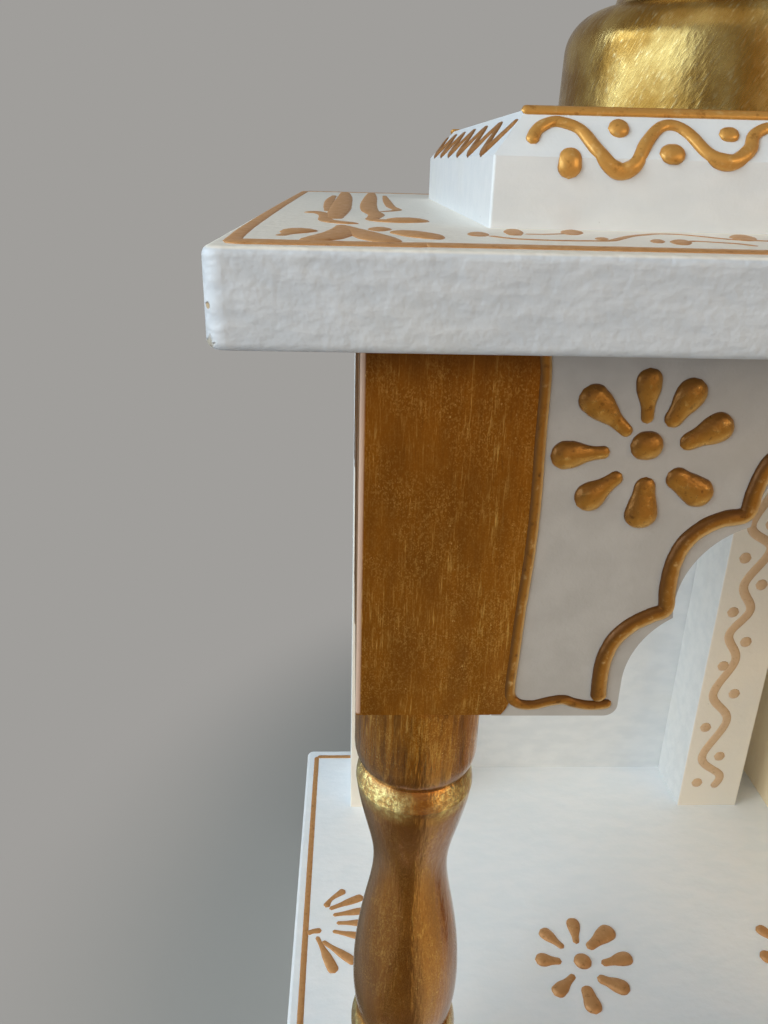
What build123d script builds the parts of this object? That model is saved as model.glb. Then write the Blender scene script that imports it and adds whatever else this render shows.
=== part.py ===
from build123d import *
import os

# Wooden pooja mandir: a small household shrine of painted boards and turned posts. A flat roof slab and a base slab
# of one size stand three open bays apart. Four turned posts carry scalloped arch boards along the front, four square
# pilasters stand against the back panel, and a block with a turned dome sits on the roof over each bay.
# Millimetres. The origin is on the floor under the centre of the slabs, +X to the right, +Z up, and -Y is the front.

# Slabs
slab_width = 763.0
slab_depth = 305.0
slab_thickness = 19.0  # an 18 mm board and its paint
slab_corner_radius = 4.0
slab_edge_radius = 1.8
clear_height = 339.0  # base slab to roof slab

# Plinth under the base slab
plinth_height = 47.0
plinth_setback = 20.0
plinth_board = 16.0

# Turned front posts
post_side = 37.0
post_setback = 29.5  # slab edge to the post's outer faces
side_bay = 171.0  # clear width between the two posts of a side bay
post_head = 104.2  # square part above the turning
post_foot = 60.0  # square part below the turning
post_edge_radius = 0.8
drum_radius = 18.4  # plain drum at each end of the turning
drum_length = 22.0
drum_rounding = 7.0
groove_radius = 16.1
ring_radius = 17.9
ring_length = 6.5  # groove to the widest point of the ring
neck_radius = 12.0
neck_share = 0.7  # of the stretch from the collar up to the ring
belly_radius = 17.8
belly_share = 0.24
collar_radius = 18.5
collar_length = 16.0

# Rear pilasters and back panel
back_setback = 5.5  # slab's back edge to the panel
back_thickness = 12.0
pilaster_width = 38.0
pilaster_depth = 36.5
pilaster_edge_radius = 1.0

# Scalloped arch boards, hung under the roof slab and flush with the posts' outer faces
arch_thickness = 10.0
arch_foot = 34.2  # width of the board's foot beside a post
arch_foot_radius = 3.5
arch_drop = 104.4  # depth of the foot below the roof slab
arch_spring = 94.2  # depth where the first lobe starts
arch_crown = 22.5  # depth of the board over the middle of the opening
arch_lobes = [  # for each cusp: share of the half opening, depth below the roof slab, rise of its lobe over its chord
    (0.212, 73.7, 0.135),
    (0.513, 47.7, 0.185),
]

# Blocks on the roof
block_side = 181.0
block_height = 27.5
block_chamfer_height = 10.8
block_chamfer_inset = 8.9
block_edge_radius = 0.8
centre_block_gap = 23.0  # side block to centre block
centre_top_side_inset = 27.0  # how far the centre block's upper tier stands in from it
centre_top_front_inset = 10.5

# Turned domes: cushion and bead, onion dome, finial
cushion_radius = 54.6
cushion_height = 35.1
cushion_taper = 0.5
shoulder_width = 9.6
shoulder_height = 12.1
shoulder_fall = 1.0  # slope of the cushion's top, from the collar out to the shoulder
collar_foot_radius = 40.4
dome_collar_radius = 38.3
dome_collar_height = 8.4
dome_neck_radius = 35.0
dome_radius = 49.0
dome_widest = 30.0  # height of the widest point
dome_waist = (24.0, 66.0)  # radius and height where the dome starts to sweep up to its tip
dome_height = 88.0
dome_tip_radius = 6.0
finial_height = 46.0
finial_disc_radius = 12.5
finial_ball_radius = 9.5
finial_neck_radius = 4.0
centre_dome_margin = 12.0  # side of the upper tier to the centre dome, which is larger by as much as fits

# Throne in the middle bay
throne_gap = 20.0  # pilaster to throne
throne_depth = 100.0
throne_height = 102.0
throne_top_thickness = 10.0
throne_nosing = 4.0
step_side_inset = 26.5  # how far the step stands in from the throne's sides
step_depth = 42.0
step_height = 46.0
throne_edge_radius = 1.5

# Levels and places that follow from the sizes above
base_top = plinth_height + slab_thickness
roof_bottom = base_top + clear_height
roof_top = roof_bottom + slab_thickness
front_face = post_setback - slab_depth / 2
end_face = slab_width / 2 - post_setback
outer_post_x = end_face - post_side / 2
inner_post_x = outer_post_x - post_side - side_bay
side_bay_x = (outer_post_x + inner_post_x) / 2
centre_bay = 2 * inner_post_x - post_side
post_y = front_face + post_side / 2
panel_face = slab_depth / 2 - back_setback - back_thickness
pilaster_face = panel_face - pilaster_depth
centre_block_width = 2 * (side_bay_x - block_side / 2 - centre_block_gap)
centre_top_width = centre_block_width - 2 * centre_top_side_inset
centre_top_depth = block_side - 2 * centre_top_front_inset
centre_dome_scale = (min(centre_top_width, centre_top_depth) / 2 - centre_dome_margin) / cushion_radius
post_places = {
    "outer_left": -outer_post_x,
    "inner_left": -inner_post_x,
    "inner_right": inner_post_x,
    "outer_right": outer_post_x,
}

on_floor = (Align.CENTER, Align.CENTER, Align.MIN)


def standing_box(width, depth, height):
    return Box(width, depth, height, align=on_floor)


def turned(*outline):
    """Turns a half section, drawn as (radius, height) from one end of the axis to the other."""
    start, end = outline[0] @ 0, outline[-1] @ 1
    edges = [edge for piece in outline for edge in piece.edges()]
    section = make_face([*edges, Line(end, start).edge()])
    return revolve(Plane.XZ * section, Axis.Z)


def slab():
    board = standing_box(slab_width, slab_depth, slab_thickness)
    board = fillet(board.edges().filter_by(Axis.Z), slab_corner_radius)
    faces = board.faces().sort_by(Axis.Z)
    return fillet(faces[0].edges() + faces[-1].edges(), slab_edge_radius)


def plinth():
    length = slab_width - 2 * plinth_setback
    depth = slab_depth - 2 * plinth_setback
    long_board = standing_box(length, plinth_board, plinth_height)
    end_board = standing_box(plinth_board, depth - 2 * plinth_board, plinth_height)
    y = (depth - plinth_board) / 2
    x = (length - plinth_board) / 2
    return {
        "plinth_front": Pos(0, -y) * long_board,
        "plinth_back": Pos(0, y) * long_board,
        "plinth_left": Pos(-x) * end_board,
        "plinth_right": Pos(x) * end_board,
    }


def turning(bottom, top):
    """The turned stretch of a post: drum, collar, belly, neck, ring and drum, from the bottom up."""
    low_groove = bottom + drum_length
    belly_foot = low_groove + collar_length
    high_groove = top - drum_length - drum_rounding
    ring = high_groove - ring_length
    belly = belly_foot + belly_share * (ring - belly_foot)
    neck = belly_foot + neck_share * (ring - belly_foot)
    return turned(
        Polyline((0, bottom), (drum_radius, bottom), (drum_radius, low_groove), (groove_radius, low_groove)),
        ThreePointArc(
            (groove_radius, low_groove), (collar_radius, low_groove + collar_length / 2), (groove_radius, belly_foot)
        ),
        Spline(
            (groove_radius, belly_foot),
            (belly_radius, belly),
            ((belly_radius + neck_radius) / 2, (belly + neck) / 2),
            (neck_radius, neck),
            ((neck_radius + ring_radius) / 2, (neck + ring) / 2),
            (ring_radius, ring),
        ),
        TangentArc((ring_radius, ring), (groove_radius, high_groove), tangent=(0, 1)),
        TangentArc((drum_radius, top - drum_length), (groove_radius, high_groove), tangent=(0, -1)),
        Polyline((drum_radius, top - drum_length), (drum_radius, top), (0, top)),
    )


def post():
    head = Pos(0, 0, clear_height - post_head) * standing_box(post_side, post_side, post_head)
    foot = standing_box(post_side, post_side, post_foot)
    head, foot = (fillet(square.edges().filter_by(Axis.Z), post_edge_radius) for square in (head, foot))
    return head + foot + turning(post_foot, clear_height - post_head)


def pilaster():
    shaft = standing_box(pilaster_width, pilaster_depth, clear_height)
    return fillet(shaft.edges().filter_by(Axis.Z), pilaster_edge_radius)


def arch_board(opening):
    """A board as wide as a bay, with five lobes cut into its lower edge. It hangs from z = 0, its face towards -Y."""
    reach = opening / 2 - arch_foot
    side = [(reach, -arch_spring)] + [(reach * (1 - share), -depth) for share, depth, _ in arch_lobes]
    right = [
        SagittaArc(low, high, -rise * (Vector(*high) - Vector(*low)).length)
        for low, high, (_, _, rise) in zip(side, side[1:], arch_lobes)
    ]
    crown = ThreePointArc(side[-1], (0, -arch_crown), (-side[-1][0], side[-1][1]))
    edge = [*right, *(arc.mirror(Plane.YZ) for arc in right)]
    feet = Polyline(
        (reach, -arch_spring),
        (reach, -arch_drop),
        (opening / 2, -arch_drop),
        (opening / 2, 0),
        (-opening / 2, 0),
        (-opening / 2, -arch_drop),
        (-reach, -arch_drop),
        (-reach, -arch_spring),
    )
    outline = make_face([e for piece in [*edge, crown, feet] for e in piece.edges()])
    toes = outline.vertices().filter_by(lambda v: abs(v.Y + arch_drop) < 0.01 and abs(abs(v.X) - reach) < 0.01)
    outline = fillet(toes, arch_foot_radius)
    return extrude(Plane.XZ * outline, -arch_thickness)


def arches():
    front = Pos(0, front_face, roof_bottom)
    end_clear = pilaster_face - (front_face + post_side)
    end_middle = (pilaster_face + front_face + post_side) / 2
    side_arch = arch_board(side_bay)
    end_arch = arch_board(end_clear)
    return {
        "arch_left": Pos(-side_bay_x) * front * side_arch,
        "arch_centre": front * arch_board(centre_bay),
        "arch_right": Pos(side_bay_x) * front * side_arch,
        "arch_end_left": Pos(-end_face, end_middle, roof_bottom) * Rot(0, 0, -90) * end_arch,
        "arch_end_right": Pos(end_face, end_middle, roof_bottom) * Rot(0, 0, 90) * end_arch,
    }


def block(width, depth):
    body = standing_box(width, depth, block_height)
    rim = body.faces().sort_by(Axis.Z)[-1]
    body = chamfer(rim.edges(), block_chamfer_inset, block_chamfer_height, reference=rim)
    corners = body.edges().filter_by(Axis.Z)
    return fillet(corners, block_edge_radius)


def dome_base():
    """The cushion that stands on a block, with a collar on it that carries the dome."""
    wall_radius = cushion_radius - cushion_taper
    wall_top = cushion_height - shoulder_fall - shoulder_height
    top = cushion_height + dome_collar_height
    return turned(
        Line((0, 0), (cushion_radius, 0)),
        Line((cushion_radius, 0), (wall_radius, wall_top)),
        TangentArc(
            (wall_radius, wall_top), (wall_radius - shoulder_width, cushion_height - shoulder_fall), tangent=(0, 1)
        ),
        Line((wall_radius - shoulder_width, cushion_height - shoulder_fall), (collar_foot_radius, cushion_height)),
        Polyline(
            (collar_foot_radius, cushion_height),
            (dome_collar_radius + 0.6, cushion_height + 0.25 * dome_collar_height),
            (dome_collar_radius, cushion_height + 0.5 * dome_collar_height),
            (dome_neck_radius + 0.8, top),
            (0, top),
        ),
    )


def onion_dome():
    swell = TangentArc((dome_radius, dome_widest), dome_waist, tangent=(0, 1))
    return turned(
        Line((0, 0), (dome_neck_radius, 0)),
        TangentArc((dome_radius, dome_widest), (dome_neck_radius, 0), tangent=(0, -1)),
        swell,
        TangentArc(swell @ 1, (dome_tip_radius, dome_height), tangent=swell % 1),
        Line((dome_tip_radius, dome_height), (0, dome_height)),
    )


def finial():
    """A spindle of a disc, a ball and a spike, turned with straight cuts."""
    disc = 0.08 * finial_height
    ball = 0.34 * finial_height
    ball_half = 0.14 * finial_height
    spike = 0.62 * finial_height
    return turned(
        Polyline(
            (0, 0),
            (finial_disc_radius, 0),
            (finial_disc_radius, disc),
            (finial_neck_radius, 1.4 * disc),
            (finial_ball_radius, ball - ball_half / 3),
            (finial_ball_radius, ball + ball_half / 3),
            (finial_neck_radius, ball + ball_half),
            (finial_neck_radius * 1.3, spike),
            (0.6, finial_height),
            (0, finial_height),
        )
    )


def roof_stack(side, x, level, size):
    """The dome, its base and its finial over one bay, standing on the block's top."""
    dome_z = cushion_height + dome_collar_height
    pieces = {
        f"dome_base_{side}": (0, dome_base()),
        f"dome_{side}": (dome_z, onion_dome()),
        f"finial_{side}": (dome_z + dome_height, finial()),
    }
    return {name: Pos(x, 0, level + size * z) * scale(piece, size) for name, (z, piece) in pieces.items()}


def throne():
    """A box against the back panel with a board on it, and one step in front."""
    width = centre_bay - (pilaster_width - post_side) - 2 * throne_gap
    front = panel_face - throne_depth
    box_y = panel_face - throne_depth / 2
    board_depth = throne_depth + throne_nosing
    board = standing_box(width + 2 * throne_nosing, board_depth, throne_top_thickness)
    board = fillet(board.edges().filter_by(Axis.Z).group_by(Axis.Y)[0], throne_edge_radius)
    step = standing_box(width - 2 * step_side_inset, step_depth, step_height)
    return {
        "throne_box": Pos(0, box_y, base_top) * standing_box(width, throne_depth, throne_height),
        "throne_top": Pos(0, panel_face - board_depth / 2, base_top + throne_height) * board,
        "throne_step": Pos(0, front - step_depth / 2, base_top)
        * fillet(step.edges().group_by(Axis.Z)[-1].filter_by(Axis.X).sort_by(Axis.Y)[0], throne_edge_radius),
    }


def mandir():
    pieces = {"base_slab": Pos(0, 0, plinth_height) * slab(), "roof_slab": Pos(0, 0, roof_bottom) * slab()}
    pieces |= plinth()
    for place, x in post_places.items():
        pieces[f"post_{place}"] = Pos(x, post_y, base_top) * post()
        pieces[f"pilaster_{place}"] = Pos(x, panel_face - pilaster_depth / 2, base_top) * pilaster()
    panel_width = 2 * outer_post_x + pilaster_width
    panel = standing_box(panel_width, back_thickness, clear_height)
    pieces["back_panel"] = Pos(0, panel_face + back_thickness / 2, base_top) * panel
    pieces |= arches()
    for side, x in {"left": -side_bay_x, "right": side_bay_x}.items():
        pieces[f"block_{side}"] = Pos(x, 0, roof_top) * block(block_side, block_side)
        pieces |= roof_stack(side, x, roof_top + block_height, 1)
    pieces["block_centre"] = Pos(0, 0, roof_top) * block(centre_block_width, block_side)
    pieces["block_centre_top"] = Pos(0, 0, roof_top + block_height) * block(centre_top_width, centre_top_depth)
    pieces |= roof_stack("centre", 0, roof_top + 2 * block_height, centre_dome_scale)
    pieces |= throne()
    return pieces


os.makedirs("parts", exist_ok=True)
for node, solid in mandir().items():
    export_step(solid, f"parts/{node}.step")
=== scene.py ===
import math
import random

import bmesh
import bpy
from mathutils import Matrix, Vector


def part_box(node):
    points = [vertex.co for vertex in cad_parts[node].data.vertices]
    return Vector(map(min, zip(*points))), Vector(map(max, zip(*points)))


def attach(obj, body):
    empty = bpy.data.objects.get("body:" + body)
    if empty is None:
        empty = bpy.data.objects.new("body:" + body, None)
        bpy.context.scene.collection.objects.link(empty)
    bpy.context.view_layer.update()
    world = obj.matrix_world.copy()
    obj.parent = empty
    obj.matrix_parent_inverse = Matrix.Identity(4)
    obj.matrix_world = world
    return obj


# A wooden pooja mandir: white painted boards, gold painted turned posts and leafed domes, with raised gold
# cone work on the arches, the roof, the blocks, the floor and the pilasters.

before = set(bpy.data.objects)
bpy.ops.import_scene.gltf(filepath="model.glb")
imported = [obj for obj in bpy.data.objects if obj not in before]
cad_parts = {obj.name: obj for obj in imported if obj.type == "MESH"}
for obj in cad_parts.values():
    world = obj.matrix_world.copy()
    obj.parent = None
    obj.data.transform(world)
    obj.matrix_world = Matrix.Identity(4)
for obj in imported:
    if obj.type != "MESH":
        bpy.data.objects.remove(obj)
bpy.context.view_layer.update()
mm = 0.001
print("frame loaded:", len(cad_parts), "wooden pieces")


# Node trees: a value wraps a socket, and Python's operators add the Math nodes

class Value:
    def __init__(self, tree, socket):
        self.tree = tree
        self.socket = socket

    def __add__(self, other):
        return self.tree.math("ADD", self, other)

    def __sub__(self, other):
        return self.tree.math("SUBTRACT", self, other)

    def __rsub__(self, other):
        return self.tree.math("SUBTRACT", other, self)

    def __mul__(self, other):
        return self.tree.math("MULTIPLY", self, other)

    def __truediv__(self, other):
        return self.tree.math("DIVIDE", self, other)

    __radd__ = __add__
    __rmul__ = __mul__

    def output(self, name):
        return Value(self.tree, self.socket.node.outputs[name])


class Tree:
    def __init__(self, nodeTree):
        self.nodeTree = nodeTree

    # Sockets get a link or a plain value
    def fill(self, inputs, sockets):
        for key, value in sockets.items():
            if isinstance(value, Value):
                self.nodeTree.links.new(value.socket, inputs[key])
            else:
                inputs[key].default_value = value

    # Any node: its settings are set first, because they can change which sockets it has
    def add(self, kind, sockets=None, output=0, **settings):
        node = self.nodeTree.nodes.new(kind)
        for name, setting in settings.items():
            setattr(node, name, setting)
        self.fill(node.inputs, sockets or {})
        return Value(self, node.outputs[output]) if node.outputs else node

    def math(self, operation, *numbers):
        return self.add("ShaderNodeMath", dict(enumerate(numbers)), operation=operation)

    def vector(self, operation, *vectors, output="Vector"):
        return self.add("ShaderNodeVectorMath", dict(enumerate(vectors)), output, operation=operation)

    def parts(self, vector):
        split = self.add("ShaderNodeSeparateXYZ", {"Vector": vector})
        return split, split.output("Y"), split.output("Z")

    def join(self, x, y, z):
        return self.add("ShaderNodeCombineXYZ", {"X": x, "Y": y, "Z": z})

    def noise(self, point, size, detail=2.0, roughness=0.5):
        return self.add("ShaderNodeTexNoise", {
            "Vector": point, "Scale": 1 / (size * mm), "Detail": detail, "Roughness": roughness})

    # Scattered cells: the distance to a cell's middle, and a number from 0 to 1 that is the cell's own
    def cells(self, point, size):
        distance = self.add("ShaderNodeTexVoronoi", {"Vector": point, "Scale": 1 / (size * mm)})
        return distance, self.parts(distance.output("Color"))[0]

    def smooth(self, value, low, high, toMin=0.0, toMax=1.0):
        sockets = {"Value": value, "From Min": low, "From Max": high, "To Min": toMin, "To Max": toMax}
        return self.add("ShaderNodeMapRange", sockets, interpolation_type="SMOOTHSTEP")

    # 1 between two values, fading in after the low one and out before the high one
    def between(self, value, low, high, fadeIn, fadeOut):
        return self.smooth(value, low, low + fadeIn) * self.smooth(value, high, high - fadeOut)

    def mix(self, factor, first, second):
        return self.add("ShaderNodeMix", {0: factor, 6: first, 7: second}, 2, data_type="RGBA")


def colour(red, green, blue):
    def linear(level):
        level /= 255
        return level / 12.92 if level <= 0.04045 else ((level + 0.055) / 1.055) ** 2.4
    return (linear(red), linear(green), linear(blue), 1.0)


class Paint(Tree):
    def __init__(self, name):
        self.material = bpy.data.materials.new(name)
        self.material.use_nodes = True
        super().__init__(self.material.node_tree)
        self.shader = self.nodeTree.nodes["Principled BSDF"]
        coordinates = self.add("ShaderNodeTexCoord")
        self.point = coordinates.output("Object")
        self.facing = coordinates.output("Normal")

    def set(self, **sockets):
        self.fill(self.shader.inputs, {name.replace("_", " "): value for name, value in sockets.items()})

    def relief(self, *layers):
        bump = None
        for height, depth in layers:
            sockets = {"Height": height, "Distance": depth * mm, "Strength": 1.0}
            if bump:
                sockets["Normal"] = bump
            bump = self.add("ShaderNodeBump", sockets)
        self.set(Normal=bump)

    # The object's own point with each axis stretched, for brush marks that run along an axis
    def stretched(self, x, y, z):
        return self.vector("MULTIPLY", self.point, (x, y, z))


# White enamel, brushed on over the wood. Its shade differs from one kind of piece to another, as lit and
# shaded copies of one paint: painted shade on the arch boards and the roof slab, painted light on the
# floor.

whiteEnamel = {
    "clean": colour(237, 238, 237),
    "shade": colour(229, 231, 231),
    "warm": colour(240, 236, 228),
    "speck": colour(84, 76, 66),
    "roughness": 0.4,
    "lumpSize": 7.0, "lumpDepth": 0.3, "lumpStretch": (0.5, 1.0, 1.0),
    "dentSize": 2.6, "dentDepth": 0.1,
    "peelSize": 0.9, "peelDepth": 0.03,
    "speckSize": 6.0, "speckRadius": 0.055, "speckShare": 0.05, "speckCover": 0.75,
    "cloudSize": 45.0, "cloudy": 0.3,
    "crumbs": (4.5, 1.5),
    "raggedSize": 1.6, "ragged": 1.4,
}
# the roof slab's copy is darker, a painted shade, and its top faces are lighter and warmer, a painted light
roofWhiteLitAndShaded = dict(
    whiteEnamel,
    clean=colour(211, 214, 219), shade=colour(201, 205, 211), warm=colour(211, 208, 202),
    lumpSize=4.2, lumpDepth=0.6, lumpStretch=(0.42, 1.0, 1.1), dentDepth=0.3, top=colour(242, 234, 222),
)
blockWhite = dict(
    whiteEnamel,
    clean=colour(230, 233, 236), shade=colour(224, 228, 232), warm=colour(230, 228, 222),
    lumpDepth=0.25, dentDepth=0.06,
)
# the floor's copy is brighter: a painted light
litFloorWhite = dict(
    whiteEnamel,
    clean=colour(253, 254, 255), shade=colour(247, 250, 252), warm=colour(250, 247, 242),
)
# the pilasters' fronts are warmer: a painted warm light on the faces that look forward
pilasterWhiteLitFront = dict(whiteEnamel, front=colour(248, 238, 221))
# the arch boards' copy is darker and warmer, a painted shade under the roof, and their faces that turn down
# are lighter, a painted light
shadedArchWhite = dict(
    whiteEnamel,
    clean=colour(187, 181, 175), shade=colour(180, 174, 168), warm=colour(187, 176, 163),
    lumpDepth=0.12, lumpStretch=(1.0, 1.0, 1.0), dentSize=1.4, dentDepth=0.08, peelDepth=0.05,
    speckSize=8.0, speckShare=0.09, cloudy=0.5, rim=colour(222, 221, 218),
)


def makeWhite(name, look, chips=(), dirtyFoot=None):
    paint = Paint(name)
    lumps = paint.noise(paint.stretched(*look["lumpStretch"]), look["lumpSize"])
    dents = paint.noise(paint.point, look["dentSize"])
    peel = paint.noise(paint.point, look["peelSize"], 1.0)
    cloud = paint.noise(paint.point, look["cloudSize"], 3.0)
    # the low parts of the lumps take the shade colour: painted shade in their hollows
    tone = paint.mix(paint.smooth(lumps, 0.3, 0.7), look["shade"], look["clean"])
    tone = paint.mix(paint.smooth(cloud, 0.5, 0.78) * look["cloudy"], tone, look["warm"])
    # painted light and shade by facing: a look can give the front faces, the top faces and the faces that
    # turn down their own colour
    _, facingBack, facingUp = paint.parts(paint.facing)
    for side, facing, low, high in (
        ("front", facingBack, -0.6, -0.9), ("top", facingUp, 0.6, 0.9), ("rim", facingUp, -0.04, -0.2),
    ):
        if side in look:
            tone = paint.mix(paint.smooth(facing, low, high), tone, look[side])
    distance, luck = paint.cells(paint.point, look["speckSize"])
    chosen = paint.smooth(luck, 1 - look["speckShare"], 1.002 - look["speckShare"])
    if dirtyFoot:
        # small crumbs of dirt where the block stands on the roof
        thin, thick = (dirtyFoot + above * mm for above in look["crumbs"])
        crumbs = paint.smooth(paint.parts(paint.point)[2], thin, thick) * luck
        chosen = paint.math("MAXIMUM", chosen, crumbs)
    specks = chosen * paint.smooth(distance, look["speckRadius"], look["speckRadius"] * 0.5)
    tone = paint.mix(specks * look["speckCover"], tone, look["speck"])
    height = lumps
    for centre, radius, bareColour in chips:
        away = paint.vector("DISTANCE", paint.point, centre, output="Value")
        ragged = paint.noise(paint.point, look["raggedSize"]) - 0.5
        edge = away + ragged * (look["ragged"] * radius * mm)
        bareAndShade = paint.smooth(edge, radius * mm, radius * 0.6 * mm)
        tone = paint.mix(bareAndShade, tone, bareColour)
        height = height - bareAndShade * 0.5
    rough = paint.smooth(peel, 0.2, 0.8, look["roughness"] - 0.05, look["roughness"] + 0.08)
    paint.set(Base_Color=tone, Roughness=rough)
    paint.relief((height, look["lumpDepth"]), (dents, look["dentDepth"]), (peel, look["peelDepth"]))
    return paint.material


# Gold metallic paint on the posts: a brown binder, drawn out in fine brush marks that carry bright flakes

postGold = {
    "deep": colour(134, 79, 12),
    "gold": colour(180, 111, 23),
    "light": colour(248, 196, 108),
    "flake": colour(255, 212, 132),
    # pale yellow of the painted highlights on the ring and the collar
    "wearAndHighlight": colour(255, 238, 160),
    "edge": colour(208, 174, 152),
    # brown of the painted shade on the posts: the roof's shadow on the head, the hollows of the drum's
    # ridges and the middle of the ring and the collar
    "bareAndShade": colour(96, 54, 8),
    "metal": 0.8,
    "roughness": 0.38, "turnedRoughness": 0.2,
    "coat": 0.2, "turnedCoat": 0.75,
    "markWidth": 0.5, "markStretch": 0.07, "markDepth": 0.05,
    "bunchWidth": 5.0, "bunchStretch": 0.2, "bunchDepth": 0.6,
    "broadWidth": 16.0, "broadStretch": 0.4,
    "grainSize": 0.3, "grain": 0.32, "flakeShare": 0.004,
    "dentSize": 1.4, "dentDepth": 0.04,
    "ridgeWidth": 2.4, "ridgeStretch": 0.13, "ridgeDepth": 0.55,
    "wearSize": 2.0, "wearDepth": 0.5,
    "ringSwell": 3.2,
}

# Heights on a post, in millimetres above the base slab
postHeights = {
    "turnedFrom": 60.0, "turnedTo": 234.8, "top": 339.0,
    "ringTop": 206.2, "ringLength": 13.0, "drumLength": 29.0,
    "collarTop": 98.0, "collarLength": 16.0,
}


# The throne takes the same kind of paint, without what is done to a post
def makePostGold(name, look=postGold, post=None):
    paint = Paint(name)
    marks = paint.noise(paint.stretched(1, 1, look["markStretch"]), look["markWidth"], 3.0, 0.7)
    bunches = paint.noise(paint.stretched(1, 1, look["bunchStretch"]), look["bunchWidth"], 3.0, 0.6)
    broad = paint.noise(paint.stretched(1, 1, look["broadStretch"]), look["broadWidth"], 3.0)
    worn = paint.smooth(broad * 0.5 + bunches * 0.5, 0.36, 0.64, 0.3, 0.9)
    tone = paint.mix(worn, look["deep"], look["gold"])
    bright = paint.smooth(marks, 0.5, 0.74) * paint.smooth(bunches, 0.42, 0.66, 0.16, 1.0)
    smoothed, metal, coat = 0.0, look["metal"], look["coat"]
    if post:
        # the turned stretch is smoother than the square ends
        low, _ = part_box(post)
        heights = postHeights
        x, y, z = paint.parts(paint.point)
        up = (z - low.z) / mm
        smoothed = paint.between(up, heights["turnedFrom"], heights["turnedTo"] - 4, 3, 22)
    brushed = 1 - 0.4 * smoothed
    tone = paint.mix(bright * brushed, tone, look["light"])
    tone = paint.mix(paint.smooth(marks, 0.44, 0.3) * 0.55, tone, look["deep"])
    _, luck = paint.cells(paint.stretched(1, 1, 0.7), look["grainSize"])
    crowded = paint.smooth(paint.noise(paint.point, 9.0, 3.0), 0.36, 0.64, 0.3, 1.0)
    tone = paint.mix(paint.smooth(luck, 0.5, 1.0) * crowded * look["grain"], tone, look["light"])
    tone = paint.mix(paint.smooth(luck, 0.3, 0.0) * crowded * look["grain"], tone, look["deep"])
    flakes = paint.smooth(luck, 1 - look["flakeShare"], 1.004 - look["flakeShare"]) * crowded
    tone = paint.mix(flakes * 0.6, tone, look["flake"])
    rough = look["roughness"]
    rough = paint.smooth(marks, 0.3, 0.75, rough + 0.06, rough - 0.06) - flakes * 0.1
    dents = paint.noise(paint.point, look["dentSize"])
    layers = [(marks * brushed, look["markDepth"]), (dents, look["dentDepth"])]
    if post:
        rough = rough - smoothed * (look["roughness"] - look["turnedRoughness"])
        coat = coat + smoothed * (look["turnedCoat"] - coat)
        layers.append((bunches * smoothed, look["bunchDepth"]))
        # the drum above the ring is brushed in thick ridges, with painted shade in their hollows and
        # painted highlights on their crests
        ring = heights["ringTop"]
        ridges = paint.noise(paint.stretched(1, 1, look["ridgeStretch"]), look["ridgeWidth"], 3.0, 0.6)
        drum = paint.between(up, ring, ring + heights["drumLength"], 2, 2)
        layers.append((ridges * drum, look["ridgeDepth"]))
        tone = paint.mix(drum * paint.smooth(ridges, 0.52, 0.36) * 0.55, tone, look["bareAndShade"])
        tone = paint.mix(drum * paint.smooth(ridges, 0.58, 0.72) * 0.4, tone, look["light"])
        # painted highlights on the sides of the ring and the collar and a painted dark reflection across
        # their middle; their sides are bumped with wear too
        collar = heights["collarTop"]
        wearAndHighlight = paint.between(up, ring - heights["ringLength"], ring, 7, 2)
        wearAndHighlight = wearAndHighlight + paint.between(up, collar - heights["collarLength"], collar, 2, 2)
        wear = paint.noise(paint.point, look["wearSize"], 4.0, 0.7)
        sideways = paint.parts(paint.facing)[0]
        sides = paint.smooth(paint.math("ABSOLUTE", sideways - 0.07), 0.0, 0.5)
        tone = paint.mix(wearAndHighlight * (1 - sides) * 0.4, tone, look["bareAndShade"])
        wearAndHighlight = wearAndHighlight * sides
        patchy = wearAndHighlight * paint.smooth(wear, 0.4, 0.66)
        tone = paint.mix(wearAndHighlight * 0.2 + patchy * 0.6, tone, look["wearAndHighlight"])
        layers.append((wear * wearAndHighlight, look["wearDepth"]))
        # the ring is fullest low down
        layers.append((paint.smooth(up, ring, ring - heights["ringLength"]), look["ringSwell"]))
        # painted shadow of the roof slab across the top of the head
        top = heights["top"]
        tone = paint.mix(paint.smooth(up, top - 15, top - 4) * 0.8, tone, look["bareAndShade"])
        # the white of the end boards runs onto the front edge of the outer posts' heads
        strip = paint.smooth(paint.math("ABSOLUTE", x), -low.x - 1.5 * mm, -low.x - 0.9 * mm)
        strip = strip * paint.smooth(y, low.y + 1.2 * mm, low.y + 0.5 * mm)
        strip = strip * paint.smooth(up, heights["turnedTo"], heights["turnedTo"] + 1)
        tone = paint.mix(strip, tone, look["edge"])
        metal = metal * (1 - strip * 0.9)
    paint.set(Base_Color=tone, Metallic=metal, Roughness=rough, Coat_Weight=coat, Coat_Roughness=0.22)
    paint.relief(*layers)
    return paint.material


# Raised cone work: thick satin gold, browner where it thins out

coneGold = {
    "deep": colour(176, 122, 56),
    "gold": colour(214, 158, 82),
    "light": colour(244, 204, 136),
    "dirt": colour(64, 40, 20),
    "metal": 0.62,
    "roughness": 0.33,
    "dragSize": 2.4, "dragDepth": 0.16,
    "peelSize": 0.7, "peelDepth": 0.02,
    "pitSize": 2.6, "pits": 0.015,
    "shadedFlank": (-0.66, 0, 0.75), "flankShading": 0.0,
}
# the piping and the petals take painted shade and light on their flanks
pipingGold = dict(
    coneGold,
    deep=colour(98, 58, 12), gold=colour(166, 110, 40), light=colour(248, 208, 144),
    metal=0.45, flankShading=0.95, pits=0.006, dragDepth=0.12,
)
petalGold = dict(
    coneGold,
    deep=colour(108, 66, 18), gold=colour(178, 122, 48), light=colour(230, 182, 106),
    metal=0.5, roughness=0.3, dragSize=1.8, dragDepth=0.26, pits=0.008, flankShading=0.75,
)


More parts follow.
